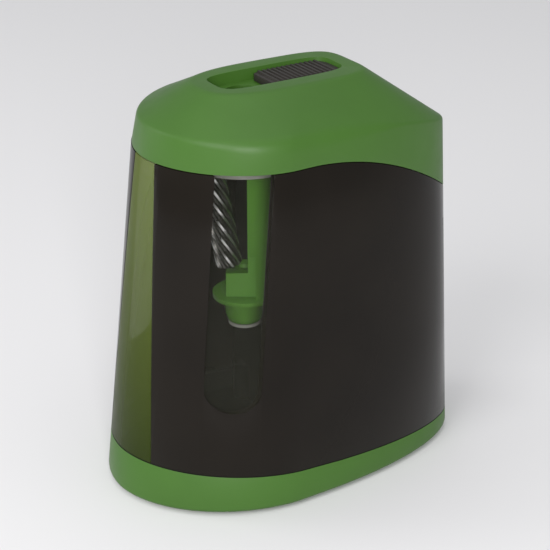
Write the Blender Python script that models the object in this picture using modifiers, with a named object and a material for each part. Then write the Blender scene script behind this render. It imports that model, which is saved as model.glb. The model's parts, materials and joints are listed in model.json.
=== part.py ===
"""Battery pencil sharpener with a lift-off head, a helical cutter and a shavings bin.

Frame: +Z up, origin under the middle of the base, -Y is the front (the translucent strip),
length along Y, width along X.  Sizes below are millimetres; MM turns them into metres where
a mesh is made.
"""
import math

import bmesh
import bpy
from mathutils import Matrix, Vector

MM = 0.001

# ---- driving dimensions -------------------------------------------------------------------
HEIGHT = 104.4
FRONT_Y, REAR_Y = -47.8, 47.8        # base outline, ends
HALF_WIDTH = 31.3                    # base outline, widest place
WIDEST_Y = -10.9                     # where the outline is widest
FRONT_POWER, REAR_POWER = 1.9, 5.0   # superellipse powers of the two halves
REAR_TAPER = 0.295                   # share of the width lost at the rear end
FRONT_LEAN, REAR_LEAN, SIDE_LEAN = 10.0, 3.7, 4.0   # over LEAN_HEIGHT
LEAN_HEIGHT = 86.2
WALL = 1.8                           # side panels, lens and windows
SHELL_LOW, SHELL_HIGH = 2.0, 95.0    # the wall is made this tall, then trimmed to its edges
BASE_WALL, BASE_CHAMFER = 2.4, 1.2
CAP_WALL, CAP_ROOF = 2.2, 2.0
GAP = 0.3                            # between neighbouring pieces
SEGMENTS = 48                        # points round the body outline
OUTSIDE = 60.0                       # cutters reach this far, past the body on every side

FOOT_HEIGHT = 0.8
FLOOR_TOP = 3.0                      # inside floor of the base
BASE_RIM_FRONT = 12.3                # height of the base band at the front end
BASE_RIM_SLOPE = 0.068               # it falls towards the rear
CAP_EDGE_FRONT = 89.4                # lower edge of the cap over the front half
CAP_EDGE_DROP, CAP_EDGE_START, CAP_EDGE_POWER = 22.6, -6.0, 1.9
CREASE_FRONT, CREASE_DROP, CREASE_POWER = 97.0, 6.5, 3.2
CREASE_START, CREASE_SPAN = -36.0, 74.0
CREASE_SETBACK = 1.0                 # above the cap's edge the nose leans in by this much more

TOP_HALF_LENGTH, TOP_HALF_WIDTH = 22.0, 11.4
TOP_FRONT_POWER, TOP_REAR_POWER = 2.8, 4.5
SLOT_HALF_LENGTH, SLOT_HALF_WIDTH, SLOT_POWER = 17.6, 6.45, 4.5
SLOT_FLOOR = 101.4                   # top of the recess floor
SLOT_FLOOR_THICKNESS = 1.5
SHUTTER_FRONT, SHUTTER_TRAVEL, SHUTTER_RIBS = -3.4, 12.5, 8
SHUTTER_TOP, RIB_TOP = 103.5, 104.0

STRIP_HALF_WIDTH, STRIP_NARROWING = 11.75, 0.0775   # at z = 0, and per mm of height
WINDOW_HALF_WIDTH = 6.15
WINDOW_FOOT = 33.8                   # centre of the window's round lower end
WINDOW_FOOT_Y, WINDOW_TILT = -26.3, 0.047
WINDOW_INNER_X = 8.0                 # the window cutters start here, clear of the other side
DOOR_HALF_WIDTH, DOOR_LOW, DOOR_HIGH = 16.5, 9.3, 62.0

# ---- mechanism ----------------------------------------------------------------------------
AXIS_Y = -9.3                        # pencil and carrier axis, at x = 0
PENCIL_BORE = 4.4
PLATE_LOW, PLATE_HIGH = 89.8, 91.8
GEAR_MODULE = 0.75
RING_TEETH, CUTTER_TEETH = 32, 8
CARRIER_TEETH, SMALL_TEETH, LARGE_TEETH, PINION_TEETH = 36, 12, 28, 10
CUTTER_TILT = math.radians(9.5)
CUTTER_HEADING = math.radians(238)   # direction in which the cutter stands off the axis
MESH_Z = 85.7                        # middle of the cutter gear
CUTTER_RADIUS = 3.4
CUTTER_FLUTES = 10
CUTTER_LOW, CUTTER_HIGH = -31.2, -2.3    # along its own axis, from the gear mesh
CUTTER_BORE, CUTTER_TWIST = 1.3, math.radians(110)
CARRIER_GEAR_Z = (92.5, 95.3)
UPPER_TRAIN_Z = (95.8, 97.8)
COMPOUND_GEAR_Z = (92.3, 95.9)
TRAIN_TOP = 98.1                     # ends of the compound axle and the motor shaft
BUSH_RADIUS, BUSH_BORE = 9.3, 8.0
COLUMN_RADIUS, HUB_RADIUS, DISC_RADIUS = 7.6, 7.7, 12.3
RING_OUTER, RING_LOW, RING_HIGH = 15.0, 83.8, 87.6

CELL_RADIUS, CELL_LOW, CELL_HIGH, CELL_NUB = 7.1, 9.2, 58.7, 1.0
CELL_PITCH_X, CELL_PITCH_Y, CELL_CENTRE_Y = 14.6, 14.5, 24.4
BAY_LOW, BAY_HIGH = 5.7, 62.2
BAY_HALF_WIDTH, BAY_FRONT, BOX_WALL = 14.8, 9.7, 1.1
BATTERY_BOX_REAR = 39.1
PLATE_THICKNESS = 0.3                # the brass contact plates
BULKHEAD_Y = (3.0, 4.8)

COMPOUND_Y = AXIS_Y + GEAR_MODULE * (CARRIER_TEETH + SMALL_TEETH) / 2
MOTOR_Y = COMPOUND_Y + GEAR_MODULE * (LARGE_TEETH + PINION_TEETH) / 2
MOTOR_RADIUS, MOTOR_LOW, MOTOR_HIGH = 9.8, 65.0, 88.8
LEVER_Y, LEVER_Z = -28.0, 96.0       # the pencil lever's hinge

POST_RADIUS, POST_BORE_RADIUS = 3.1, 1.5
FRONT_BORE_TOP, REAR_BORE_TOP = 97.0, 93.6   # the roof is lower over the rear posts
LUG_RADIUS, LUG_TOP, LUG_BORE_RADIUS, LUG_BORE_TOP = 3.4, 14.0, 1.6, 12.0
MOTOR_SCREW_X = (-6.0, 6.0)
POST_PLACES = [(18.5, 3.0), (-18.5, 3.0), (14.5, 27.0), (-14.5, 27.0)]
BASE_SCREWS = [(22.0, 3.9), (-22.0, 3.9), (19.4, 22.0), (-19.4, 22.0)]
FOOT_PLACES = [(17.0, -26.0), (-17.0, -26.0), (17.0, 34.0), (-17.0, 34.0)]

COLOURS = {
    "green": ((0.13, 0.50, 0.08), 0.35, 0.0),
    "green_clear": ((0.35, 0.62, 0.12), 0.12, 0.0),
    "black_gloss": ((0.012, 0.012, 0.013), 0.10, 0.0),
    "black": ((0.03, 0.03, 0.032), 0.5, 0.0),
    "smoke": ((0.05, 0.05, 0.05), 0.08, 0.0),
    "steel": ((0.62, 0.62, 0.63), 0.25, 1.0),
    "brass": ((0.75, 0.58, 0.27), 0.3, 1.0),
    "white": ((0.82, 0.82, 0.80), 0.45, 0.0),
    "rubber": ((0.04, 0.04, 0.04), 0.8, 0.0),
    "cell": ((0.10, 0.16, 0.30), 0.3, 0.2),
}


# ---- outline rules ------------------------------------------------------------------------
def superellipse(angle, half_x, half_y, power):
    c, s = math.cos(angle), math.sin(angle)
    x = half_x * math.copysign(abs(c) ** (2 / power), c)
    y = half_y * math.copysign(abs(s) ** (2 / power), s)
    return x, y


def body_point(angle, z, inset):
    """A point on the leaning body wall at height z, moved inwards by inset."""
    k = z / LEAN_HEIGHT
    half = HALF_WIDTH - SIDE_LEAN * k - inset
    front = FRONT_Y + FRONT_LEAN * k + inset
    rear = REAR_Y - REAR_LEAN * k - inset
    if math.sin(angle) < 0:
        x, y = superellipse(angle, half, WIDEST_Y - front, FRONT_POWER)
    else:
        x, y = superellipse(angle, half, rear - WIDEST_Y, REAR_POWER)
        x *= 1 - REAR_TAPER * (y / (rear - WIDEST_Y)) ** 2
    return Vector((x, y + WIDEST_Y, z))


def angles(count=SEGMENTS):
    return [2 * math.pi * i / count for i in range(count)]


def body_ring(z, inset):
    return [body_point(a, z, inset) for a in angles()]


def cap_edge(y):
    run = max(0.0, y - CAP_EDGE_START) / (REAR_Y - 0.3 - CAP_EDGE_START)
    return CAP_EDGE_FRONT - CAP_EDGE_DROP * run ** CAP_EDGE_POWER


def base_rim(y):
    return BASE_RIM_FRONT - BASE_RIM_SLOPE * (y - FRONT_Y)


def crease_height(y):
    run = max(0.0, (y - CREASE_START) / CREASE_SPAN)
    return CREASE_FRONT - CREASE_DROP * run ** CREASE_POWER


def strip_half_width(z):
    return STRIP_HALF_WIDTH - STRIP_NARROWING * z


def circle(radius, centre=(0.0, 0.0), count=32):
    return [(centre[0] + radius * math.cos(a), centre[1] + radius * math.sin(a)) for a in angles(count)]


# ---- scene and mesh helpers ---------------------------------------------------------------
for stale in list(bpy.data.objects):
    bpy.data.objects.remove(stale, do_unlink=True)

parts = bpy.data.collections.new("pencil_sharpener")
bpy.context.scene.collection.children.link(parts)


def make_material(name, rgb, roughness, metallic):
    material = bpy.data.materials.new(name)
    material.use_nodes = True
    shader = material.node_tree.nodes["Principled BSDF"]
    shader.inputs["Base Color"].default_value = (*rgb, 1.0)
    shader.inputs["Roughness"].default_value = roughness
    shader.inputs["Metallic"].default_value = metallic
    return material


def paint(obj, colour):
    rgb, roughness, metallic = COLOURS[colour]
    obj.data.materials.clear()
    obj.data.materials.append(make_material(obj.name, rgb, roughness, metallic))
    return obj


def add_object(name, bm):
    mesh = bpy.data.meshes.new(name)
    bmesh.ops.recalc_face_normals(bm, faces=bm.faces)
    bm.to_mesh(mesh)
    bm.free()
    obj = bpy.data.objects.new(name, mesh)
    parts.objects.link(obj)
    return obj


def box(name, low, high):
    bm = bmesh.new()
    bmesh.ops.create_cube(bm, size=1.0)
    size = [(h - l) * MM for l, h in zip(low, high)]
    centre = [(h + l) * MM / 2 for l, h in zip(low, high)]
    bmesh.ops.scale(bm, vec=size, verts=bm.verts)
    bmesh.ops.translate(bm, vec=centre, verts=bm.verts)
    return add_object(name, bm)


def cylinder(name, radius, z0, z1, centre=(0.0, 0.0), top_radius=None, count=32):
    bm = bmesh.new()
    top = radius if top_radius is None else top_radius
    bmesh.ops.create_cone(bm, cap_ends=True, segments=count, radius1=radius * MM, radius2=top * MM,
                          depth=(z1 - z0) * MM)
    bmesh.ops.translate(bm, vec=(centre[0] * MM, centre[1] * MM, (z0 + z1) / 2 * MM), verts=bm.verts)
    return add_object(name, bm)


def loft(name, rings):
    """A closed solid through rings of equal point count, lowest ring first."""
    bm = bmesh.new()
    rows = [[bm.verts.new(Vector(p) * MM) for p in ring] for ring in rings]
    count = len(rows[0])
    for lower, upper in zip(rows, rows[1:]):
        for i in range(count):
            j = (i + 1) % count
            bm.faces.new((lower[i], lower[j], upper[j], upper[i]))
    bm.faces.new(list(reversed(rows[0])))
    bm.faces.new(rows[-1])
    return add_object(name, bm)


def flat(name, outlines, z0, z1):
    """A plate with straight sides from 2D outlines; the inner outlines are holes."""
    curve = bpy.data.curves.new(name, "CURVE")
    curve.dimensions = "2D"
    curve.fill_mode = "BOTH"
    curve.extrude = (z1 - z0) / 2 * MM
    for outline in outlines:
        spline = curve.splines.new("POLY")
        spline.points.add(len(outline) - 1)
        for point, (x, y) in zip(spline.points, outline):
            point.co = (x * MM, y * MM, 0.0, 1.0)
        spline.use_cyclic_u = True
    drawn = bpy.data.objects.new(name, curve)
    drawn.location.z = (z0 + z1) / 2 * MM
    parts.objects.link(drawn)
    return curve_to_mesh(drawn)


def curve_to_mesh(drawn):
    bpy.context.view_layer.update()
    evaluated = drawn.evaluated_get(bpy.context.evaluated_depsgraph_get())
    mesh = bpy.data.meshes.new_from_object(evaluated)
    mesh.transform(drawn.matrix_world)
    name = drawn.name
    bpy.data.objects.remove(drawn)
    bm = bmesh.new()
    bm.from_mesh(mesh)
    bmesh.ops.remove_doubles(bm, verts=bm.verts, dist=1e-6)
    bpy.data.meshes.remove(mesh)
    return add_object(name, bm)


def side_prism(name, outline, x0, x1):
    """A (y, z) outline carried along X."""
    return loft(name, [[(x0, y, z) for y, z in outline], [(x1, y, z) for y, z in outline]])


def front_prism(name, outline, y0, y1):
    """An (x, z) outline carried along Y."""
    return loft(name, [[(x, y0, z) for x, z in outline], [(x, y1, z) for x, z in outline]])


def combine(obj, tool, operation):
    """Join, cut or intersect obj with tool, and drop the tool."""
    modifier = obj.modifiers.new("combine", "BOOLEAN")
    modifier.operation = operation
    modifier.object = tool
    for solver in ("EXACT", "MANIFOLD"):     # the second one only where the first gives nothing
        modifier.solver = solver
        bpy.context.view_layer.update()
        evaluated = obj.evaluated_get(bpy.context.evaluated_depsgraph_get())
        mesh = bpy.data.meshes.new_from_object(evaluated)
        if mesh.polygons:
            break
    obj.modifiers.clear()
    obj.data = mesh
    bpy.data.objects.remove(tool)
    bm = bmesh.new()
    bm.from_mesh(mesh)
    bmesh.ops.remove_doubles(bm, verts=bm.verts, dist=2e-6)
    bmesh.ops.dissolve_degenerate(bm, edges=bm.edges, dist=2e-6)
    bm.to_mesh(mesh)
    bm.free()
    return obj


def cut(obj, tool):
    return combine(obj, tool, "DIFFERENCE")


def keep_inside(obj, tool):
    return combine(obj, tool, "INTERSECT")


def join(obj, tool):
    return combine(obj, tool, "UNION")


def pivot_at(obj, point):
    """Put the object's origin on its joint's axis without moving its surface."""
    shift = Vector(point) * MM
    obj.data.transform(Matrix.Translation(-shift))
    obj.location = shift
    return obj


def shade(obj, angle=35):
    obj.data.shade_smooth()
    obj.data.set_sharp_from_angle(angle=math.radians(angle))
    return obj


def finish(obj, colour, pivot=None):
    paint(obj, colour)
    shade(obj)
    if pivot is not None:
        pivot_at(obj, pivot)
    return obj


# ---- body shells --------------------------------------------------------------------------
def wall_shell(name):
    """The body wall, WALL thick, open above and below."""
    shell = loft(name, [body_ring(SHELL_LOW, 0.0), body_ring(SHELL_HIGH, 0.0)])
    return cut(shell, loft("inside", [body_ring(SHELL_LOW - 5, WALL), body_ring(SHELL_HIGH + 5, WALL)]))


def half_space(side, inner):
    """The x range from inner to past the body, on one side."""
    return (inner, OUTSIDE) if side > 0 else (-OUTSIDE, -inner)


def door_box(grow):
    """The block that the door's outline takes from the rear wall."""
    half, near = DOOR_HALF_WIDTH + grow, REAR_Y / 2
    return box("door", (-half, near, DOOR_LOW - grow), (half, OUTSIDE, DOOR_HIGH + grow))


def panel_outline(shrink=0.0):
    """Side view of the panels, between the base band and the cap's edge."""
    steps = 14
    reach = REAR_Y + 6
    stations = [FRONT_Y - 6 + (reach - FRONT_Y + 6) * i / steps for i in range(steps + 1)]
    low = [(y, base_rim(y) + shrink) for y in (stations[0], stations[-1])]
    high = [(y, cap_edge(y) - shrink) for y in reversed(stations)]
    return low + high


def strip_outline(grow, low=-5.0, high=120.0):
    return [(-strip_half_width(low) - grow, low), (strip_half_width(low) + grow, low),
            (strip_half_width(high) + grow, high), (-strip_half_width(high) - grow, high)]


def window_outline(grow):
    half = WINDOW_HALF_WIDTH + grow
    steps = 10
    outline = []
    for i in range(steps + 1):
        a = math.pi + math.pi * i / steps
        outline.append((WINDOW_FOOT_Y + half * math.cos(a), WINDOW_FOOT + half * math.sin(a)))
    top = 100.0
    shift = WINDOW_TILT * (top - WINDOW_FOOT)
    outline.append((WINDOW_FOOT_Y + half + shift, top))
    outline.append((WINDOW_FOOT_Y - half + shift, top))
    return outline


def side_panel(name, side):
    panel = wall_shell(name)
    keep_inside(panel, side_prism("region", panel_outline(GAP / 2), *half_space(side, GAP / 2)))
    cut(panel, front_prism("strip", strip_outline(GAP / 2), -OUTSIDE, WIDEST_Y))
    cut(panel, side_prism("opening", window_outline(GAP / 2), *half_space(side, WINDOW_INNER_X)))
    cut(panel, door_box(GAP / 2))
    return finish(panel, "black_gloss")


def window_pane(name, side):
    pane = wall_shell(name)
    near, far = half_space(side, WINDOW_INNER_X)
    keep_inside(pane, side_prism("region", panel_outline(GAP / 2), near, far))
    keep_inside(pane, side_prism("opening", window_outline(-GAP / 2), near, far))
    return finish(pane, "smoke")


def front_lens():
    lens = wall_shell("front_lens")
    keep_inside(lens, side_prism("region", panel_outline(GAP / 2), -OUTSIDE, OUTSIDE))
    keep_inside(lens, front_prism("strip", strip_outline(-GAP / 2), -OUTSIDE, WIDEST_Y))
    return finish(lens, "green_clear")


def battery_door():
    door = keep_inside(wall_shell("battery_door"), door_box(-GAP / 2))
    return finish(door, "black_gloss", pivot=(0, REAR_Y, (DOOR_LOW + DOOR_HIGH) / 2))


def base_tray():
    low, chamfered, above = FOOT_HEIGHT, FOOT_HEIGHT + BASE_CHAMFER, BASE_RIM_FRONT + 8
    hole_radius, seat_radius, seat_top, pocket_radius, pocket_top = 1.7, 3.2, 2.0, 4.3, 1.6
    base = loft("base_tray", [body_ring(low, BASE_CHAMFER), body_ring(chamfered, 0.0), body_ring(above, 0.0)])
    band = [(-OUTSIDE, -1), (OUTSIDE, -1), (OUTSIDE, base_rim(OUTSIDE) - GAP / 2),
            (-OUTSIDE, base_rim(-OUTSIDE) - GAP / 2)]
    keep_inside(base, side_prism("band", band, -OUTSIDE, OUTSIDE))
    cut(base, loft("hollow", [body_ring(FLOOR_TOP, BASE_WALL), body_ring(above + 5, BASE_WALL)]))
    for place in BASE_SCREWS:
        cut(base, cylinder("hole", hole_radius, -1, FLOOR_TOP + 5, place, count=20))
        cut(base, cylinder("counterbore", seat_radius, -1, seat_top, place, count=24))
    for place in FOOT_PLACES:
        cut(base, cylinder("pocket", pocket_radius, -1, pocket_top, place, count=28))
    return finish(base, "green")


def cap_solid(name, inset, drop):
    """The cap's outer form; inset and drop give the hollow inside it."""
    skirt_low, skirt_height = 60.0, 4.0
    crease_share, top_share = 0.7, 0.4   # how much of drop and inset those two rings take
    skirt, crease, top = [], [], []
    for a in angles():
        z = CREASE_FRONT
        for _ in range(4):
            z = crease_height(body_point(a, z, 0.0).y)
        setback = CREASE_SETBACK * max(0.0, -math.sin(a))
        skirt.append(body_point(a, min(CAP_EDGE_FRONT - 1, z - skirt_height), inset))
        crease.append(body_point(a, z - drop * crease_share, inset + setback))
        power = TOP_FRONT_POWER if math.sin(a) < 0 else TOP_REAR_POWER
        x, y = superellipse(a, TOP_HALF_WIDTH - inset * top_share, TOP_HALF_LENGTH - inset * top_share, power)
        top.append((x, y, HEIGHT - drop))
    return loft(name, [body_ring(skirt_low, inset), skirt, crease, top])


def slot_ring(grow, shift=0.0):
    """The recess outline, wider by grow and moved back by shift."""
    ring = []
    for a in angles(40):
        x, y = superellipse(a, SLOT_HALF_WIDTH + grow, SLOT_HALF_LENGTH + grow, SLOT_POWER)
        ring.append((x, y + shift))
    return ring


def top_cap():
    tray_wall = 1.5
    tray_low, tray_high, above = SLOT_FLOOR - SLOT_FLOOR_THICKNESS, HEIGHT - 1.0, HEIGHT + 5
    cap = cap_solid("top_cap", 0.0, 0.0)
    cut(cap, cap_solid("inside", CAP_WALL, CAP_ROOF))
    edge = [(y, z) for y, z in reversed(panel_outline(-GAP / 2)[2:])]
    edge += [(REAR_Y + 6, HEIGHT + 15), (FRONT_Y - 6, HEIGHT + 15)]
    keep_inside(cap, side_prism("edge", edge, -OUTSIDE, OUTSIDE))
    join(cap, flat("tray", [slot_ring(tray_wall)], tray_low, tray_high))
    for x, y in POST_PLACES:
        bore_top = REAR_BORE_TOP if y > 20 else FRONT_BORE_TOP
        post = cylinder("post", POST_RADIUS, PLATE_HIGH + GAP, above, (x, y), count=20)
        join(cap, keep_inside(post, cap_solid("limit", CAP_WALL / 2, CAP_ROOF / 2)))
        cut(cap, cylinder("bore", POST_BORE_RADIUS, PLATE_HIGH - 1, bore_top, (x, y), count=16))
    cut(cap, flat("slot", [slot_ring(0.0)], SLOT_FLOOR, above))
    cut(cap, cylinder("pencil_hole", PENCIL_BORE, PLATE_HIGH, above, (0, AXIS_Y)))
    return finish(cap, "green", pivot=(0, 0, CAP_EDGE_FRONT))


def dust_shutter():
    """A ribbed plate that slides forwards over the pencil hole, rounded to fit both of its stops."""
    clearance, rib_half_width, rib_sink, low = 0.5, 0.45, 0.2, SLOT_FLOOR + GAP
    rib_inset, first_rib, last_rib = 1.1, 1.8, 2.6
    rear = SLOT_HALF_LENGTH - clearance
    half = SLOT_HALF_WIDTH - clearance - rib_inset
    shutter = flat("dust_shutter", [slot_ring(-clearance)], low, SHUTTER_TOP)
    keep_inside(shutter, flat("region", [slot_ring(-clearance, SHUTTER_TRAVEL)], low - 2, HEIGHT))
    keep_inside(shutter, box("front", (-OUTSIDE, SHUTTER_FRONT, low - 3), (OUTSIDE, OUTSIDE, HEIGHT + 2)))
    for i in range(SHUTTER_RIBS):
        start = SHUTTER_FRONT + first_rib
        y = start + i * (rear - start - last_rib) / (SHUTTER_RIBS - 1)
        join(shutter, box("rib", (-half, y - rib_half_width, SHUTTER_TOP - rib_sink),
                          (half, y + rib_half_width, RIB_TOP)))
    return finish(shutter, "black", pivot=(0, rear, low))


# ---- inside the lower body ----------------------------------------------------------------
def inner_solid(name, inset):
    return loft(name, [body_ring(FLOOR_TOP + GAP, inset), body_ring(SHELL_HIGH, inset)])


def screw_lug(obj, place):
    """A round lug on the floor with a blind bore for a base screw."""
    join(obj, cylinder("lug", LUG_RADIUS, FLOOR_TOP + GAP, LUG_TOP, place, count=24))
    cut(obj, cylinder("bore", LUG_BORE_RADIUS, 0, LUG_BORE_TOP, place, count=16))


def bulkhead():
    wall = inner_solid("bulkhead", BASE_WALL + GAP)
    top = 82.0
    keep_inside(wall, box("region", (-OUTSIDE, BULKHEAD_Y[0], 0), (OUTSIDE, BULKHEAD_Y[1], top)))
    for place in BASE_SCREWS[:2]:
        screw_lug(wall, place)
    return finish(wall, "black")


def battery_box():
    front = BAY_FRONT - BOX_WALL
    outer = BAY_HALF_WIDTH + BOX_WALL
    rear = BATTERY_BOX_REAR
    case = box("battery_box", (-outer, front, FLOOR_TOP + GAP), (outer, rear, BAY_HIGH + BOX_WALL))
    cut(case, box("bay", (-BAY_HALF_WIDTH, BAY_FRONT, BAY_LOW), (BAY_HALF_WIDTH, rear + 5, BAY_HIGH)))
    for x, y in BASE_SCREWS[2:]:
        low, high = sorted((math.copysign(outer - BOX_WALL / 2, x), x))
        join(case, box("web", (low, y - LUG_RADIUS, FLOOR_TOP + GAP), (high, y + LUG_RADIUS, LUG_TOP)))
        screw_lug(case, (x, y))
    return finish(case, "black")


def cell_places():
    places = []
    for column in (-1, 1):
        for row in (-1, 1):
            nub_up = column * row > 0
            x = column * CELL_PITCH_X / 2
            y = CELL_CENTRE_Y + row * CELL_PITCH_Y / 2
            places.append((x, y, nub_up))
    return places


def cells_and_springs():
    nub_radius, sunk = 2.7, 0.5
    for number, (x, y, nub_up) in enumerate(cell_places(), start=1):
        cell = cylinder("battery_cell_%d" % number, CELL_RADIUS, CELL_LOW, CELL_HIGH, (x, y))
        low, high = CELL_LOW - CELL_NUB, CELL_LOW + sunk
        if nub_up:
            low, high = CELL_HIGH - sunk, CELL_HIGH + CELL_NUB
        nub = cylinder("nub", nub_radius, low, high, (x, y), count=20)
        finish(join(cell, nub), "cell")
        coil_spring("cell_spring_%d" % number, x, y, nub_up)


def coil_spring(name, x, y, low_end):
    """A conical contact spring between a contact plate and a cell's flat end."""
    turns, per_turn, wire = 2, 10, 0.3
    wide, narrowing = 4.6, 2.2
    start = BAY_LOW + 2 * GAP + PLATE_THICKNESS + wire
    end = CELL_LOW - GAP - wire
    curve = bpy.data.curves.new(name, "CURVE")
    curve.dimensions = "3D"
    curve.bevel_depth = wire * MM
    curve.bevel_resolution = 2
    curve.use_fill_caps = True
    spline = curve.splines.new("POLY")
    count = turns * per_turn + 1
    spline.points.add(count - 1)
    for i, point in enumerate(spline.points):
        share = i / (count - 1)
        radius = wide - narrowing * share
        a = 2 * math.pi * turns * share
        z = start + (end - start) * share
        if not low_end:
            z = CELL_LOW + CELL_HIGH - z
        point.co = ((x + radius * math.cos(a)) * MM, (y + radius * math.sin(a)) * MM, z * MM, 1.0)
    drawn = bpy.data.objects.new(name, curve)
    parts.objects.link(drawn)
    return finish(curve_to_mesh(drawn), "steel")


def contact_plates():
    edge, boss_radius, sunk = 2 * GAP, 2.0, PLATE_THICKNESS / 3
    rear = CELL_CENTRE_Y + CELL_PITCH_Y / 2 + CELL_RADIUS - 1.0
    for name, z, nub_side in (("lower_contact_plate", BAY_LOW + GAP, False),
                              ("upper_contact_plate", BAY_HIGH - GAP - PLATE_THICKNESS, True)):
        half = BAY_HALF_WIDTH - edge
        plate = box(name, (-half, BAY_FRONT + edge, z), (half, rear, z + PLATE_THICKNESS))
        for x, y, nub_up in cell_places():
            if nub_up == nub_side:
                low = CELL_HIGH + CELL_NUB + GAP if nub_up else z + sunk
                high = z + 2 * sunk if nub_up else CELL_LOW - CELL_NUB - GAP
                join(plate, cylinder("boss", boss_radius, low, high, (x, y), count=16))
        finish(plate, "brass")


def contacts():
    """Spring blades on the head meet tabs on the battery box; lifting the head parts them."""
    inner, outer, strip = 11.5, 15.5, 0.5
    blade_y, blade_low, tab_y, tab_low, tab_high = 6.0, 68.0, 6.9, 56.0, 76.0
    for side, word in ((-1, "left"), (1, "right")):
        low_x, high_x = sorted((side * inner, side * outer))
        blade = box("contact_blade_" + word, (low_x, blade_y, blade_low),
                    (high_x, blade_y + strip, PLATE_LOW - GAP))
        finish(blade, "brass", pivot=(0, 0, CAP_EDGE_FRONT))
        tab = box("contact_tab_" + word, (low_x, tab_y, tab_low), (high_x, tab_y + strip, tab_high))
        join(tab, box("foot", (low_x, tab_y + strip / 2, tab_low),
                      (high_x, BAY_FRONT - BOX_WALL - GAP, tab_low + strip)))
        finish(tab, "brass")


def feet_and_screws():
    foot_radius, foot_top_radius, foot_top = 3.6, 4.0, 1.3
    for number, place in enumerate(FOOT_PLACES, start=1):
        foot = cylinder("foot_%d" % number, foot_radius, 0.0, foot_top, place,
                        top_radius=foot_top_radius, count=28)
        finish(foot, "rubber")
    head_radius, head_low, head_high = 2.7, 0.95, 1.7
    shank_radius, shank_top, recess_top = 1.25, 10.0, 1.3
    for number, (x, y) in enumerate(BASE_SCREWS, start=1):
        screw = cylinder("base_screw_%d" % number, head_radius, head_low, head_high, (x, y), count=24)
        join(screw, cylinder("shank", shank_radius, head_high - 0.2, shank_top, (x, y), count=16))
        for half_x, half_y in ((0.35, 2.0), (2.0, 0.35)):      # the two arms of the cross recess
            cut(screw, box("recess", (x - half_x, y - half_y, 0.5), (x + half_x, y + half_y, recess_top)))
        finish(screw, "steel")


# ---- head ---------------------------------------------------------------------------------
def gear_outline(teeth, centre=(0.0, 0.0), phase=0.0, internal=False):
    """Straight-flanked teeth; each covers a little under half of the pitch."""
    pitch_radius = GEAR_MODULE * teeth / 2
    addendum, dedendum = 0.75 * GEAR_MODULE, 1.05 * GEAR_MODULE
    half_tip, half_root = 0.13, 0.30             # of a pitch
    tip = pitch_radius - addendum if internal else pitch_radius + addendum
    root = pitch_radius + dedendum if internal else pitch_radius - dedendum
    outline = []
    for i in range(teeth):
        middle = phase + 2 * math.pi * i / teeth
        pitch = 2 * math.pi / teeth
        for share, radius in ((-half_root, root), (-half_tip, tip), (half_tip, tip), (half_root, root)):
            a = middle + share * pitch
            outline.append((centre[0] + radius * math.cos(a), centre[1] + radius * math.sin(a)))
    return outline


def chassis_plate():
    level, edge = CREASE_FRONT - 4, CAP_WALL + 1.2
    bush_hole, axle_hole, boss_hole, motor_hole = BUSH_RADIUS + GAP, 1.5, 3.4, 1.2
    outer = [(p.x, p.y) for p in body_ring(level, edge)]
    holes = [circle(bush_hole, (0, AXIS_Y), 40), circle(axle_hole, (0, COMPOUND_Y), 16),
             circle(boss_hole, (0, MOTOR_Y), 24)]
    holes += [circle(POST_BORE_RADIUS, place, 16) for place in POST_PLACES]
    holes += [circle(motor_hole, (x, MOTOR_Y), 12) for x in MOTOR_SCREW_X]
    plate = flat("chassis_plate", [outer] + holes, PLATE_LOW, PLATE_HIGH)
    keep_inside(plate, cap_solid("limit", CAP_WALL + 0.5, CAP_ROOF + 0.8))
    return finish(plate, "black", pivot=(0, 0, CAP_EDGE_FRONT))


def ring_gear():
    outer = circle(RING_OUTER, (0, AXIS_Y), 64)
    inner = circle(DISC_RADIUS + 1.1, (0, AXIS_Y), 64)
    teeth = flat("ring_gear", [outer, gear_outline(RING_TEETH, (0, AXIS_Y), 0.0, internal=True)],
                 RING_LOW, RING_HIGH)
    collar = flat("collar", [outer, inner], RING_HIGH - 0.2, PLATE_LOW - GAP)
    return finish(join(teeth, collar), "white", pivot=(0, AXIS_Y, CAP_EDGE_FRONT))


def cutter_frame():
    """Matrix that carries +Z at the origin onto the cutter's tilted axis at the gear mesh."""
    offset = GEAR_MODULE * (RING_TEETH - CUTTER_TEETH) / 2
    mesh_point = Vector((offset * math.cos(CUTTER_HEADING),
                         AXIS_Y + offset * math.sin(CUTTER_HEADING), MESH_Z)) * MM
    turn = Matrix.Rotation(CUTTER_HEADING, 4, "Z") @ Matrix.Rotation(CUTTER_TILT, 4, "Y")
    return Matrix.Translation(mesh_point) @ turn


def on_cutter_axis(obj):
    obj.data.transform(cutter_frame())
    return obj


def helical_cutter():
    """A fluted cylinder whose teeth wind round it, with a bore for the pin."""
    levels, depths = 14, ((0.0, 0.0), (0.25, 0.05), (0.55, 0.65))   # of one tooth: share, depth
    rings = []
    for level in range(levels + 1):
        share = level / levels
        ring = []
        for i in range(CUTTER_FLUTES):
            for step, depth in depths:
                a = 2 * math.pi * (i + step) / CUTTER_FLUTES + CUTTER_TWIST * share
                radius = CUTTER_RADIUS - depth
                z = CUTTER_LOW + (CUTTER_HIGH - CUTTER_LOW) * share
                ring.append((radius * math.cos(a), radius * math.sin(a), z))
        rings.append(ring)
    cutter = loft("helical_cutter", rings)
    cut(cutter, cylinder("bore", CUTTER_BORE, CUTTER_LOW - 9, CUTTER_HIGH + 9, count=20))
    on_cutter_axis(cutter)
    return finish(cutter, "steel", pivot=cutter_pivot())


def cutter_pivot():
    return cutter_frame().translation / MM


def cutter_gear():
    low, high = -1.5, 1.4
    outline = gear_outline(CUTTER_TEETH, phase=cutter_phase())
    gear = flat("cutter_gear", [outline, circle(CUTTER_BORE, count=20)], low, high)
    on_cutter_axis(gear)
    return finish(gear, "steel", pivot=cutter_pivot())


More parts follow.
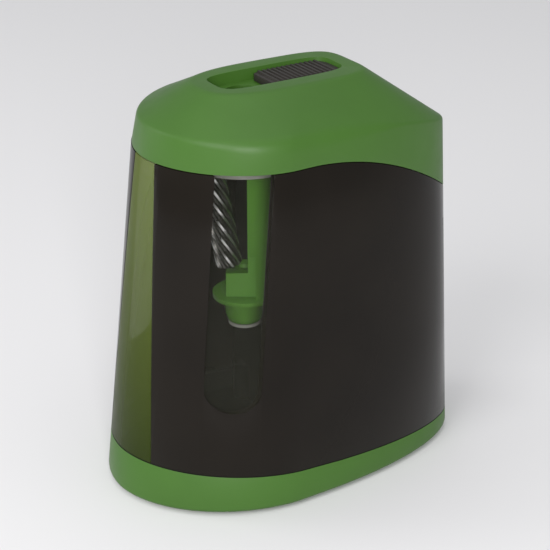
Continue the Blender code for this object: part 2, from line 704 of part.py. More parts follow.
def cutter_phase():
    """Turn of the cutter gear that sets a tooth in the ring's gap on the cutter's heading."""
    ring_pitch = 2 * math.pi / RING_TEETH
    past_gap = (CUTTER_HEADING / ring_pitch - 0.5) % 1.0
    share = past_gap if past_gap < 0.5 else past_gap - 1.0
    return -share * ring_pitch * RING_TEETH / CUTTER_TEETH


def cutter_pin():
    radius, low, high = CUTTER_BORE - GAP, -36.4, 3.6
    pin = on_cutter_axis(cylinder("cutter_pin", radius, low, high, count=20))
    return finish(pin, "steel", pivot=(0, AXIS_Y, CAP_EDGE_FRONT))


def turned(name, profile, centre, steps=40):
    """A solid of revolution: (radius, z) points from the top down, closed on the axis."""
    bm = bmesh.new()
    row = [bm.verts.new((radius * MM, 0.0, z * MM)) for radius, z in profile]
    for a, b in zip(row, row[1:]):
        bm.edges.new((a, b))
    mesh = bpy.data.meshes.new(name)
    bm.to_mesh(mesh)
    bm.free()
    obj = bpy.data.objects.new(name, mesh)
    parts.objects.link(obj)
    screw = obj.modifiers.new("turn", "SCREW")
    screw.steps = steps
    screw.render_steps = steps
    screw.use_merge_vertices = True
    screw.merge_threshold = 0.000001
    obj.location = (centre[0] * MM, centre[1] * MM, 0.0)
    return curve_to_mesh(obj)


def cutter_carrier():
    """Hub, disc, half shell, block, flange and nose in one moulding; the cutter lies beside it."""
    hub_top, disc_top, disc_low, flange_top, flange_low, nose_low = 95.4, 89.4, 88.0, 47.4, 46.3, 39.7
    flange_radius, nose_top_radius, nose_low_radius = 8.2, 5.2, 4.3
    profile = [(0.0, hub_top), (HUB_RADIUS, hub_top), (HUB_RADIUS, disc_top), (DISC_RADIUS, disc_top),
               (DISC_RADIUS, disc_low), (COLUMN_RADIUS, disc_low), (COLUMN_RADIUS, flange_top + 0.4),
               (flange_radius, flange_top), (flange_radius, flange_low), (nose_top_radius, flange_low - 0.4),
               (nose_top_radius - 0.3, nose_low + 1.7), (nose_low_radius, nose_low), (0.0, nose_low)]
    carrier = turned("cutter_carrier", profile, (0, AXIS_Y))
    facing = Matrix.Translation((0, AXIS_Y * MM, 0)) @ Matrix.Rotation(CUTTER_HEADING, 4, "Z")
    far, block_half_width, block_front, block_top, block_low = 14.0, 4.4, 4.6, 54.2, flange_top + 0.3
    wide = COLUMN_RADIUS + 1.4
    cleared = [((-1.0, -wide, block_top), (far, wide, disc_low)),                     # above the block
               ((-3.0, block_half_width, block_low), (far, wide, block_top + 6)),     # both sides of it
               ((-3.0, -wide, block_low), (far, -block_half_width, block_top + 6)),
               ((block_front, -wide, block_low), (far, wide, block_top + 6))]         # in front of it
    for low, high in cleared:
        tool = box("side", low, high)
        tool.data.transform(facing)
        cut(carrier, tool)
    throat = PENCIL_BORE + 0.8
    cone_low, throat_low, cone_point_radius = 53.0, 80.0, 1.2
    cut(carrier, cylinder("throat", throat, throat_low, disc_low + 0.6, (0, AXIS_Y)))
    cut(carrier, cylinder("bore", PENCIL_BORE, disc_low, hub_top + 5, (0, AXIS_Y)))
    cut(carrier, cylinder("cone", cone_point_radius, cone_low, throat_low + 0.2, (0, AXIS_Y),
                          top_radius=throat))
    swept = cylinder("swept", CUTTER_RADIUS + 0.5, CUTTER_LOW - 0.6, 2.2)
    cut(carrier, on_cutter_axis(swept))
    cut(carrier, on_cutter_axis(cylinder("pin_hole", CUTTER_BORE, -37.0, 6.0, count=20)))
    return finish(carrier, "green", pivot=(0, AXIS_Y, CAP_EDGE_FRONT))


def gear_train():
    carrier_spot, compound_spot, motor_spot = (0, AXIS_Y), (0, COMPOUND_Y), (0, MOTOR_Y)
    axle_radius, axle_bore, shaft_radius, shaft_bore, shaft_low = 1.2, 1.5, 1.0, 1.3, 80.5
    gear = flat("carrier_gear", [gear_outline(CARRIER_TEETH, carrier_spot, math.pi / 2),
                                 circle(BUSH_BORE, carrier_spot, 40)], *CARRIER_GEAR_Z)
    finish(gear, "white", pivot=(0, AXIS_Y, CAP_EDGE_FRONT))
    small_phase = -math.pi / 2 + math.pi / SMALL_TEETH
    compound = flat("compound_gear", [gear_outline(SMALL_TEETH, compound_spot, small_phase),
                                      circle(axle_bore, compound_spot, 20)], *COMPOUND_GEAR_Z)
    large = flat("large", [gear_outline(LARGE_TEETH, compound_spot, math.pi / 2),
                           circle(axle_bore, compound_spot, 20)], *UPPER_TRAIN_Z)
    finish(join(compound, large), "white", pivot=(0, COMPOUND_Y, CAP_EDGE_FRONT))
    axle = cylinder("compound_axle", axle_radius, PLATE_LOW + 0.2, TRAIN_TOP, compound_spot, count=20)
    finish(axle, "steel", pivot=(0, 0, CAP_EDGE_FRONT))
    pinion_phase = -math.pi / 2 + math.pi / PINION_TEETH
    pinion = flat("motor_pinion", [gear_outline(PINION_TEETH, motor_spot, pinion_phase),
                                   circle(shaft_bore, motor_spot, 16)], *UPPER_TRAIN_Z)
    finish(pinion, "brass", pivot=(0, MOTOR_Y, CAP_EDGE_FRONT))
    shaft = cylinder("motor_shaft", shaft_radius, shaft_low, TRAIN_TOP, motor_spot, count=20)
    finish(shaft, "steel", pivot=(0, MOTOR_Y, CAP_EDGE_FRONT))


def motor_can():
    spot, above = (0, MOTOR_Y), MOTOR_HIGH + 6
    flat_half_width, boss_radius, boss_height, bore_radius, bore_low = 7.6, 3.0, 0.7, 1.3, 80.0
    thread_radius, thread_low = 1.1, 86.0
    can = cylinder("motor_can", MOTOR_RADIUS, MOTOR_LOW, MOTOR_HIGH, spot, count=40)
    keep_inside(can, box("flats", (-flat_half_width, 0, MOTOR_LOW - 5), (flat_half_width, OUTSIDE, above)))
    join(can, cylinder("boss", boss_radius, MOTOR_HIGH - 0.5, MOTOR_HIGH + boss_height, spot, count=24))
    cut(can, cylinder("bore", bore_radius, bore_low, above, spot, count=20))
    for x in MOTOR_SCREW_X:
        cut(can, cylinder("thread", thread_radius, thread_low, above, (x, MOTOR_Y), count=12))
    return finish(can, "steel", pivot=(0, 0, CAP_EDGE_FRONT))


def head_screws():
    head_radius, head_low, shank_radius = 2.5, 88.3, 1.2
    for number, (x, y) in enumerate(POST_PLACES, start=1):
        screw = cylinder("plate_screw_%d" % number, head_radius, head_low, PLATE_LOW - 0.15, (x, y), count=24)
        top = (REAR_BORE_TOP if y > 20 else FRONT_BORE_TOP) - 0.4
        join(screw, cylinder("shank", shank_radius, head_low + 0.7, top, (x, y), count=16))
        finish(screw, "steel", pivot=(0, 0, CAP_EDGE_FRONT))
    head_radius, head_high, shank_radius, shank_low = 1.8, 93.0, 0.9, 87.0
    for number, x in enumerate(MOTOR_SCREW_X, start=1):
        screw = cylinder("motor_screw_%d" % number, head_radius, PLATE_HIGH + 0.15, head_high,
                         (x, MOTOR_Y), count=20)
        join(screw, cylinder("shank", shank_radius, shank_low, PLATE_HIGH + 0.4, (x, MOTOR_Y), count=12))
        finish(screw, "steel", pivot=(0, 0, CAP_EDGE_FRONT))


def small_head_parts():
    bush = flat("carrier_bush", [circle(BUSH_RADIUS, (0, AXIS_Y), 40), circle(BUSH_BORE, (0, AXIS_Y), 40)],
                PLATE_LOW, PLATE_HIGH)
    finish(bush, "brass", pivot=(0, AXIS_Y, CAP_EDGE_FRONT))
    washer_radius, washer_bore, washer_low, washer_high = 4.2, 1.6, 38.6, 39.4
    washer = flat("nose_washer", [circle(washer_radius, (0, AXIS_Y)), circle(washer_bore, (0, AXIS_Y))],
                  washer_low, washer_high)
    finish(washer, "white", pivot=(0, AXIS_Y, CAP_EDGE_FRONT))
    guide_low, guide_high = 96.0, SLOT_FLOOR - SLOT_FLOOR_THICKNESS - GAP
    guide = flat("pencil_guide", [circle(PENCIL_BORE + 1.2, (0, AXIS_Y)), circle(PENCIL_BORE, (0, AXIS_Y))],
                 guide_low, guide_high)
    cut(guide, box("notch", (-1.7, AXIS_Y - 8, guide_low - 1), (1.7, AXIS_Y - 3, guide_low + 3)))
    finish(guide, "black", pivot=(0, 0, CAP_EDGE_FRONT))
    switch_top, yoke_low = 96.4, 94.8
    switch = box("pencil_switch", (-3.5, LEVER_Y - 3.2, PLATE_HIGH + GAP), (3.5, LEVER_Y + 2.4, switch_top))
    cut(switch, box("yoke", (-1.5, LEVER_Y - 1.6, yoke_low), (1.5, LEVER_Y + 8, switch_top + 3)))
    finish(switch, "black", pivot=(0, 0, CAP_EDGE_FRONT))
    half, low, high = 1.2, switch_top + GAP, switch_top + 1.1
    lever = box("pencil_lever", (-half, LEVER_Y - 0.6, low), (half, AXIS_Y - PENCIL_BORE + 0.1, high))
    join(lever, box("leg", (-half, LEVER_Y - 0.6, yoke_low + 0.6), (half, LEVER_Y + 0.6, high - 0.5)))
    finish(lever, "white", pivot=(0, LEVER_Y, LEVER_Z))


def build():
    base_tray()
    front_lens()
    for side, word in ((-1, "left"), (1, "right")):
        side_panel(word + "_side_panel", side)
        window_pane(word + "_window", side)
    battery_door()
    bulkhead()
    battery_box()
    cells_and_springs()
    contact_plates()
    contacts()
    feet_and_screws()
    top_cap()
    dust_shutter()
    chassis_plate()
    ring_gear()
    cutter_carrier()
    helical_cutter()
    cutter_gear()
    cutter_pin()
    gear_train()
    motor_can()
    head_screws()
    small_head_parts()


build()
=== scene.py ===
"""Looks for the battery pencil sharpener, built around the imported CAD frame."""
import json
import math

import bmesh
import bpy
from mathutils import Matrix, Vector


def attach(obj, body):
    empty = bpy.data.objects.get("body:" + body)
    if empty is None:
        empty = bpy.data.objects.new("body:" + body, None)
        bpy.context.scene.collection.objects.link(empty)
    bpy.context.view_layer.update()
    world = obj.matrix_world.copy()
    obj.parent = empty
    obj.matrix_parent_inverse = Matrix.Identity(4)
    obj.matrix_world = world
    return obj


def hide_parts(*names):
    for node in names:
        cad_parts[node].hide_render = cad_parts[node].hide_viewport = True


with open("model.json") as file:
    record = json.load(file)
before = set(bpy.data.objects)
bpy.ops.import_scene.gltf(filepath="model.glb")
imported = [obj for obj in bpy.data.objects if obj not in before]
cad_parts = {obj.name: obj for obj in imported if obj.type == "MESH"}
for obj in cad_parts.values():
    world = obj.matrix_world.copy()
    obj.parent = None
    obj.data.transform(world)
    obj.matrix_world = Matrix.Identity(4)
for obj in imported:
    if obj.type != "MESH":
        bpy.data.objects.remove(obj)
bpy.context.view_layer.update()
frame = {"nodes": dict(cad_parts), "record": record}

MM = 0.001

# ---- sizes shared with the CAD, in millimetres ----------------------------------------------
HEIGHT = 104.4
FRONT_Y, REAR_Y, HALF_WIDTH, WIDEST_Y = -47.8, 47.8, 31.3, -10.9
FRONT_POWER, REAR_POWER, REAR_TAPER = 1.9, 5.0, 0.295
FRONT_LEAN, REAR_LEAN, SIDE_LEAN, LEAN_HEIGHT = 10.0, 3.7, 4.0, 86.2
WALL, CAP_WALL, GAP = 1.8, 2.2, 0.3
FOOT_HEIGHT, FLOOR_TOP = 0.8, 3.0
BASE_RIM_FRONT, BASE_RIM_SLOPE = 12.3, 0.068
CAP_EDGE_FRONT, CAP_EDGE_DROP, CAP_EDGE_START, CAP_EDGE_POWER = 89.4, 22.6, -6.0, 1.9
CREASE_FRONT, CREASE_DROP, CREASE_POWER, CREASE_START, CREASE_SPAN = 97.0, 6.5, 3.2, -36.0, 74.0
CREASE_SETBACK = 1.0
TOP_HALF_LENGTH, TOP_HALF_WIDTH, TOP_FRONT_POWER, TOP_REAR_POWER = 22.0, 11.4, 2.8, 4.5
SLOT_HALF_LENGTH, SLOT_HALF_WIDTH, SLOT_POWER = 17.6, 6.45, 4.5
SLOT_FLOOR, SLOT_FLOOR_THICKNESS = 101.4, 1.5
SHUTTER_FRONT, SHUTTER_TRAVEL, SHUTTER_TOP = -3.4, 12.5, 103.5
STRIP_HALF_WIDTH, STRIP_NARROWING = 11.75, 0.0775
DOOR_HALF_WIDTH, DOOR_LOW, DOOR_HIGH = 16.5, 9.3, 62.0
PLATE_HIGH = 91.8
POST_PLACES = [(18.5, 3.0), (-18.5, 3.0), (14.5, 27.0), (-14.5, 27.0)]
BASE_SCREWS = [(22.0, 3.9), (-22.0, 3.9), (19.4, 22.0), (-19.4, 22.0)]
FOOT_PLACES = [(17.0, -26.0), (-17.0, -26.0), (17.0, 34.0), (-17.0, 34.0)]
AXIS_Y, PENCIL_BORE = -9.3, 4.4
RING_TEETH, CUTTER_TEETH, GEAR_MODULE = 32, 8, 0.75
CUTTER_TILT, CUTTER_HEADING, MESH_Z = math.radians(9.5), math.radians(238), 85.7
CUTTER_RADIUS, CUTTER_FLUTES = 3.4, 10

# ---- sizes of the looks alone ------------------------------------------------------------------
# The windows stand a little higher than the CAD's and lean more.
WINDOW_HALF_WIDTH, WINDOW_FOOT, WINDOW_FOOT_Y, WINDOW_TILT = 6.15, 34.5, -27.4, 0.088
RIB_TOP = 103.95
FINE = 160                           # points round the body outline
FAR = 40.0                           # beyond the body on either side
SEAM = 0.12                          # half the gap left between neighbouring shell pieces
WINDOW_SEAM = 0.02                   # the window fits its opening more closely
CUTTER_BORE = 1.3


# ---- outline rules ---------------------------------------------------------------------------
def superellipse(angle, half_x, half_y, power):
    c, s = math.cos(angle), math.sin(angle)
    x = half_x * math.copysign(abs(c) ** (2 / power), c)
    y = half_y * math.copysign(abs(s) ** (2 / power), s)
    return x, y


def body_point(angle, z, inset):
    """A point on the leaning body wall at height z, moved inwards by inset."""
    k = z / LEAN_HEIGHT
    half = HALF_WIDTH - SIDE_LEAN * k - inset
    front = FRONT_Y + FRONT_LEAN * k + inset
    rear = REAR_Y - REAR_LEAN * k - inset
    if math.sin(angle) < 0:
        x, y = superellipse(angle, half, WIDEST_Y - front, FRONT_POWER)
    else:
        x, y = superellipse(angle, half, rear - WIDEST_Y, REAR_POWER)
        x *= 1 - REAR_TAPER * (y / (rear - WIDEST_Y)) ** 2
    return Vector((x, y + WIDEST_Y, z))


def angles(count=FINE):
    return [2 * math.pi * (i + 0.5) / count for i in range(count)]


def body_ring(z, inset):
    return [body_point(a, z, inset) for a in angles()]


def cap_edge(y):
    run = max(0.0, y - CAP_EDGE_START) / (REAR_Y - 0.3 - CAP_EDGE_START)
    return CAP_EDGE_FRONT - CAP_EDGE_DROP * run ** CAP_EDGE_POWER


def base_rim(y):
    return BASE_RIM_FRONT - BASE_RIM_SLOPE * (y - FRONT_Y)


def crease_height(y):
    run = max(0.0, (y - CREASE_START) / CREASE_SPAN)
    return CREASE_FRONT - CREASE_DROP * run ** CREASE_POWER


def strip_half_width(z):
    return STRIP_HALF_WIDTH - STRIP_NARROWING * z


# ---- mesh helpers ----------------------------------------------------------------------------
def add_object(name, bm):
    mesh = bpy.data.meshes.new(name)
    bmesh.ops.recalc_face_normals(bm, faces=bm.faces)
    bm.to_mesh(mesh)
    bm.free()
    obj = bpy.data.objects.new(name, mesh)
    bpy.context.scene.collection.objects.link(obj)
    return obj


def box(name, low, high):
    bm = bmesh.new()
    bmesh.ops.create_cube(bm, size=1.0)
    bmesh.ops.scale(bm, vec=[(h - l) * MM for l, h in zip(low, high)], verts=bm.verts)
    bmesh.ops.translate(bm, vec=[(h + l) * MM / 2 for l, h in zip(low, high)], verts=bm.verts)
    return add_object(name, bm)


def cylinder(name, radius, z0, z1, centre=(0.0, 0.0), top_radius=None, count=64):
    bm = bmesh.new()
    top = radius if top_radius is None else top_radius
    bmesh.ops.create_cone(bm, cap_ends=True, segments=count, radius1=radius * MM, radius2=top * MM,
                          depth=(z1 - z0) * MM)
    bmesh.ops.translate(bm, vec=(centre[0] * MM, centre[1] * MM, (z0 + z1) / 2 * MM), verts=bm.verts)
    return add_object(name, bm)


def loft(name, rings):
    """A closed solid through rings of equal point count, lowest ring first."""
    bm = bmesh.new()
    rows = [[bm.verts.new(Vector(p) * MM) for p in ring] for ring in rings]
    count = len(rows[0])
    for lower, upper in zip(rows, rows[1:]):
        for i in range(count):
            j = (i + 1) % count
            bm.faces.new((lower[i], lower[j], upper[j], upper[i]))
    bm.faces.new(list(reversed(rows[0])))
    bm.faces.new(rows[-1])
    return add_object(name, bm)


def prism(name, outline, place):
    """place(u, v, end) puts an outline point at the prism's near (0) or far (1) end."""
    return loft(name, [[place(u, v, 0) for u, v in outline], [place(u, v, 1) for u, v in outline]])


def side_prism(name, outline, x0, x1):
    return prism(name, outline, lambda y, z, end: ((x0, x1)[end], y, z))


def front_prism(name, outline, y0, y1):
    return prism(name, outline, lambda x, z, end: (x, (y0, y1)[end], z))


def upright_prism(name, outline, z0, z1):
    return prism(name, outline, lambda x, y, end: (x, y, (z0, z1)[end]))


def evaluated_mesh(obj):
    bpy.context.view_layer.update()
    return bpy.data.meshes.new_from_object(obj.evaluated_get(bpy.context.evaluated_depsgraph_get()))


def combine(obj, tool, operation):
    modifier = obj.modifiers.new("combine", "BOOLEAN")
    modifier.operation = operation
    modifier.object = tool
    for solver in ("EXACT", "MANIFOLD"):     # the second one only where the first gives nothing
        modifier.solver = solver
        mesh = evaluated_mesh(obj)
        if mesh.polygons:
            break
    obj.modifiers.clear()
    obj.data = mesh
    bpy.data.objects.remove(tool)
    bm = bmesh.new()
    bm.from_mesh(mesh)
    bmesh.ops.remove_doubles(bm, verts=bm.verts, dist=5e-6)
    bmesh.ops.dissolve_degenerate(bm, edges=bm.edges, dist=5e-6)
    bm.to_mesh(mesh)
    bm.free()
    return obj


def cut(obj, tool):
    return combine(obj, tool, "DIFFERENCE")


def keep_inside(obj, tool):
    return combine(obj, tool, "INTERSECT")


def join(obj, tool):
    return combine(obj, tool, "UNION")


def soften(obj, width, segments=2, angle=38):
    """Round the sharp edges as a mould does, then shade smoothly between them."""
    bevel = obj.modifiers.new("edges", "BEVEL")
    bevel.width = width * MM
    bevel.segments = segments
    bevel.limit_method = "ANGLE"
    bevel.angle_limit = math.radians(angle)
    bevel.use_clamp_overlap = True
    bevel.harden_normals = False
    obj.data = evaluated_mesh(obj)
    obj.modifiers.clear()
    obj.data.shade_smooth()
    obj.data.set_sharp_from_angle(angle=math.radians(50))
    return obj


# ---- materials -------------------------------------------------------------------------------
def node_material(name, colour, roughness, metallic=0.0):
    material = bpy.data.materials.new(name)
    material.use_nodes = True
    shader = material.node_tree.nodes["Principled BSDF"]
    shader.inputs["Base Color"].default_value = (*colour, 1.0)
    shader.inputs["Roughness"].default_value = roughness
    shader.inputs["Metallic"].default_value = metallic
    return material, shader


def noise(tree, scale, detail, stretch=(1, 1, 1)):
    """Object-space noise; scale is in repeats per metre."""
    place = tree.nodes.new("ShaderNodeTexCoord")
    mapping = tree.nodes.new("ShaderNodeMapping")
    mapping.inputs["Scale"].default_value = stretch
    texture = tree.nodes.new("ShaderNodeTexNoise")
    texture.inputs["Scale"].default_value = scale
    texture.inputs["Detail"].default_value = detail
    tree.links.new(place.outputs["Object"], mapping.inputs["Vector"])
    tree.links.new(mapping.outputs["Vector"], texture.inputs["Vector"])
    return texture.outputs["Fac"]


def ramp(tree, source, stops):
    node = tree.nodes.new("ShaderNodeValToRGB")
    elements = node.color_ramp.elements
    elements[0].position, elements[0].color = stops[0][0], stops[0][1]
    elements[1].position, elements[1].color = stops[-1][0], stops[-1][1]
    for position, colour in stops[1:-1]:
        elements.new(position).color = colour
    tree.links.new(source, node.inputs["Fac"])
    return node.outputs["Color"]


def grey(value):
    return (value, value, value, 1.0)


def bump(tree, shader, source, strength, distance):
    node = tree.nodes.new("ShaderNodeBump")
    node.inputs["Strength"].default_value = strength
    node.inputs["Distance"].default_value = distance
    tree.links.new(source, node.inputs["Height"])
    tree.links.new(node.outputs["Normal"], shader.inputs["Normal"])


def moulded_plastic(name, colour, roughness, grain=2200, depth=0.00002, mottling=0.06, specular=0.5):
    """Satin moulded plastic: fine spark-eroded grain, faint flow mottling, uneven sheen."""
    material, shader = node_material(name, colour, roughness)
    shader.inputs["Specular IOR Level"].default_value = specular
    tree = material.node_tree
    low = tuple(c * (1 - mottling) for c in colour)
    high = tuple(min(1.0, c * (1 + mottling)) for c in colour)
    tone = ramp(tree, noise(tree, 45, 4), [(0.3, (*low, 1)), (0.7, (*high, 1))])
    tree.links.new(tone, shader.inputs["Base Color"])
    dull, shiny = grey(roughness + 0.06), grey(roughness - 0.05)
    sheen = ramp(tree, noise(tree, 160, 5), [(0.25, shiny), (0.75, dull)])
    tree.links.new(sheen, shader.inputs["Roughness"])
    bump(tree, shader, noise(tree, grain, 2), 0.35, depth)
    return material


def gloss_plastic(name, colour):
    """Polished black plastic: long soft waviness, faint handling haze and flow mottling."""
    material, shader = node_material(name, colour, 0.2)
    shader.inputs["Specular IOR Level"].default_value = 0.14
    tree = material.node_tree
    deep, pale = (tuple(c * share for c in colour) + (1,) for share in (0.85, 1.2))
    tone = ramp(tree, noise(tree, 35, 4), [(0.3, deep), (0.7, pale)])
    tree.links.new(tone, shader.inputs["Base Color"])
    haze = ramp(tree, noise(tree, 60, 6), [(0.35, grey(0.16)), (0.8, grey(0.28))])
    tree.links.new(haze, shader.inputs["Roughness"])
    bump(tree, shader, noise(tree, 90, 1), 0.12, 0.00004)
    return material


def see_through_plastic(name, low_colour, high_colour, opacity, roughness, specular):
    """Tinted see-through plastic whose colour runs by height from low_colour at the base rim to
    high_colour at the cap edge.
    """
    material, shader = node_material(name, high_colour, roughness)
    shader.inputs["Alpha"].default_value = opacity
    shader.inputs["Specular IOR Level"].default_value = specular
    tree = material.node_tree
    place = tree.nodes.new("ShaderNodeTexCoord")
    split = tree.nodes.new("ShaderNodeSeparateXYZ")
    tree.links.new(place.outputs["Object"], split.inputs["Vector"])
    height = tree.nodes.new("ShaderNodeMapRange")
    height.inputs["From Min"].default_value = BASE_RIM_FRONT * MM
    height.inputs["From Max"].default_value = CAP_EDGE_FRONT * MM
    tree.links.new(split.outputs["Z"], height.inputs["Value"])
    # painted shade: on the front strip this height ramp darkens the colour towards its foot; on the
    # smoked window the ramp runs paler towards its foot
    tone = ramp(tree, height.outputs["Result"], [(0.0, (*low_colour, 1)), (1.0, (*high_colour, 1))])
    tree.links.new(tone, shader.inputs["Base Color"])
    haze = ramp(tree, noise(tree, 80, 5), [(0.3, grey(roughness * 0.8)), (0.8, grey(roughness * 1.3))])
    tree.links.new(haze, shader.inputs["Roughness"])
    bump(tree, shader, noise(tree, 110, 2), 0.10, 0.00002)
    return material


def metal(name, colour, roughness, stretch=(1, 1, 8), scratches=0.25):
    """Ground metal: fine drawn scratches and a slightly uneven polish."""
    material, shader = node_material(name, colour, roughness, 1.0)
    tree = material.node_tree
    bright, worn = grey(roughness * 0.7), grey(roughness * 1.5)
    polish = ramp(tree, noise(tree, 900, 4, stretch), [(0.3, bright), (0.7, worn)])
    tree.links.new(polish, shader.inputs["Roughness"])
    bump(tree, shader, noise(tree, 1600, 3, stretch), scratches, 0.00001)
    return material


def rubber():
    material, shader = node_material("rubber", (0.03, 0.03, 0.03), 0.85)
    bump(material.node_tree, shader, noise(material.node_tree, 1800, 4), 0.6, 0.00006)
    return material


EVEN = (1, 1, 1)                     # noise drawn out in no direction
GREEN = moulded_plastic("green_plastic", (0.049, 0.132, 0.0165), 0.43, mottling=0.05, specular=0.34)
# painted light: the carrier's green is painted about three times paler than the body's green, standing in
# for light reaching it through the window
CARRIER_LIT_GREEN = moulded_plastic("painted_light_green_plastic", (0.15, 0.40, 0.05), 0.40,
                              mottling=0.05, specular=0.25)
# painted shade: the near-black plastic that stands in for the shade inside the bin
BIN_SHADE = moulded_plastic("painted_shade_plastic", (0.012, 0.013, 0.010), 0.9, 900, 0.00004, 0.3, 0.1)
# painted shade: the front strip is painted darker towards its foot, standing in for the shade low in the
# bin
LENS = see_through_plastic("translucent_green", (0.030, 0.045, 0.006), (0.110, 0.145, 0.030),
                           0.76, 0.34, 0.10)
BLACK_GLOSS = gloss_plastic("black_gloss", (0.0092, 0.0072, 0.0052))
SMOKE = see_through_plastic("smoked_window", (0.060, 0.060, 0.042), (0.030, 0.030, 0.022),
                            0.14, 0.10, 0.3)
BLACK = moulded_plastic("black_plastic", (0.016, 0.015, 0.013), 0.55, 1800, 0.00003, 0.15, 0.3)
SHUTTER = moulded_plastic("shutter_plastic", (0.030, 0.026, 0.023), 0.5, 1800, 0.00003, 0.15, 0.3)
WHITE = moulded_plastic("white_plastic", (0.50, 0.50, 0.44), 0.4, 1800, 0.00001, 0.03)
STEEL = metal("steel", (0.66, 0.66, 0.67), 0.24)
GROUND_STEEL = metal("ground_steel", (0.13, 0.125, 0.115), 0.38, EVEN, 0.04)
# painted highlight: near-white steel for the cutter's lands, standing in for the glints along the teeth
HIGHLIGHT_STEEL = metal("painted_highlight_steel", (0.90, 0.89, 0.86), 0.34, EVEN, 0.03)
BRASS = metal("brass", (0.78, 0.58, 0.26), 0.28)
CELL = moulded_plastic("cell_jacket", (0.06, 0.11, 0.22), 0.25, 900, 0.00001, 0.05)
RUBBER = rubber()

SLOT_MATERIALS = {
    "green_plastic": GREEN, "translucent_green": LENS, "black_gloss": BLACK_GLOSS,
    "smoked_window": SMOKE, "black_plastic": BLACK, "steel": STEEL, "brass": BRASS,
    "white_plastic": WHITE, "cell_jacket": CELL, "rubber": RUBBER,
}


def dress_cad_nodes():
    """Give every CAD node the material of its slot in the record."""
    for part in frame["record"]["subparts"]:
        obj = frame["nodes"][part["node"]]
        material = SLOT_MATERIALS[part["material_slot"]]
        for slot in obj.material_slots:
            slot.material = material


def stand_for(obj, node, body, material):
    obj.data.materials.clear()
    obj.data.materials.append(material)
    for polygon in obj.data.polygons:
        polygon.material_index = 0
    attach(obj, body)
    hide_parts(node)
    return obj


# ---- body shells -----------------------------------------------------------------------------
def wall_shell(name):
    levels = (2.0, 35.0, 65.0, 95.0)
    shell = loft(name, [body_ring(z, 0.0) for z in levels])
    return cut(shell, loft("inside", [body_ring(z, WALL) for z in (-3.0, 100.0)]))


def panel_outline(shrink):
    steps = 48
    reach = REAR_Y + 6
    stations = [FRONT_Y - 6 + (reach - FRONT_Y + 6) * i / steps for i in range(steps + 1)]
    low = [(y, base_rim(y) + shrink) for y in (stations[0], stations[-1])]
    return low + [(y, cap_edge(y) - shrink) for y in reversed(stations)]


def strip_outline(grow, low=-5.0, high=120.0):
    return [(-strip_half_width(low) - grow, low), (strip_half_width(low) + grow, low),
            (strip_half_width(high) + grow, high), (-strip_half_width(high) - grow, high)]


def window_outline(grow):
    half = WINDOW_HALF_WIDTH + grow
    steps = 28
    outline = []
    for i in range(steps + 1):
        a = math.pi + math.pi * i / steps
        outline.append((WINDOW_FOOT_Y + half * math.cos(a), WINDOW_FOOT + half * math.sin(a)))
    top = 100.0
    shift = WINDOW_TILT * (top - WINDOW_FOOT)
    outline.append((WINDOW_FOOT_Y + half + shift, top))
    outline.append((WINDOW_FOOT_Y - half + shift, top))
    return outline


def side_pieces():
    window_inner_x, strip_gap = 8.0, SEAM * 0.6
    door_low = (-DOOR_HALF_WIDTH - SEAM, 20, DOOR_LOW - SEAM)
    door_high = (DOOR_HALF_WIDTH + SEAM, 60, DOOR_HIGH + SEAM)
    for side, word in ((-1, "left"), (1, "right")):
        near, far = sorted((side * SEAM, side * FAR))
        window_near, window_far = sorted((side * window_inner_x, side * FAR))
        panel = wall_shell(word + "_panel_shell")
        keep_inside(panel, side_prism("region", panel_outline(SEAM), near, far))
        cut(panel, front_prism("strip", strip_outline(strip_gap), -60.0, WIDEST_Y))
        cut(panel, side_prism("opening", window_outline(WINDOW_SEAM), window_near, window_far))
        cut(panel, box("door", door_low, door_high))
        soften(panel, 0.08)
        stand_for(panel, word + "_side_panel", "lower_body", BLACK_GLOSS)
        pane = wall_shell(word + "_window_pane")
        keep_inside(pane, side_prism("region", panel_outline(SEAM), near, far))
        keep_inside(pane, side_prism("opening", window_outline(-WINDOW_SEAM), window_near, window_far))
        soften(pane, 0.03)
        stand_for(pane, word + "_window", "lower_body", SMOKE)


def front_strip():
    lens = wall_shell("front_strip")
    keep_inside(lens, side_prism("region", panel_outline(SEAM), -30.0, 30.0))
    keep_inside(lens, front_prism("strip", strip_outline(-0.08), -60.0, WIDEST_Y))
    soften(lens, 0.15)
    return stand_for(lens, "front_lens", "lower_body", LENS)


def rear_door():
    grooves, pitch, half_length, half_height, depth = 6, 2.2, 7.0, 0.45, 0.35
    door = wall_shell("rear_battery_cover")
    keep_inside(door, box("region", (-DOOR_HALF_WIDTH + SEAM, 20, DOOR_LOW + SEAM),
                          (DOOR_HALF_WIDTH - SEAM, 60, DOOR_HIGH - SEAM)))
    for i in range(grooves):                # grip ribs cut as shallow grooves
        z = DOOR_HIGH - 6.0 - pitch * i
        wall_y = REAR_Y - REAR_LEAN * z / LEAN_HEIGHT
        cut(door, box("groove", (-half_length, wall_y - depth, z - half_height),
                      (half_length, REAR_Y + 5, z + half_height)))
    soften(door, 0.16)
    return stand_for(door, "battery_door", "battery_door", BLACK_GLOSS)


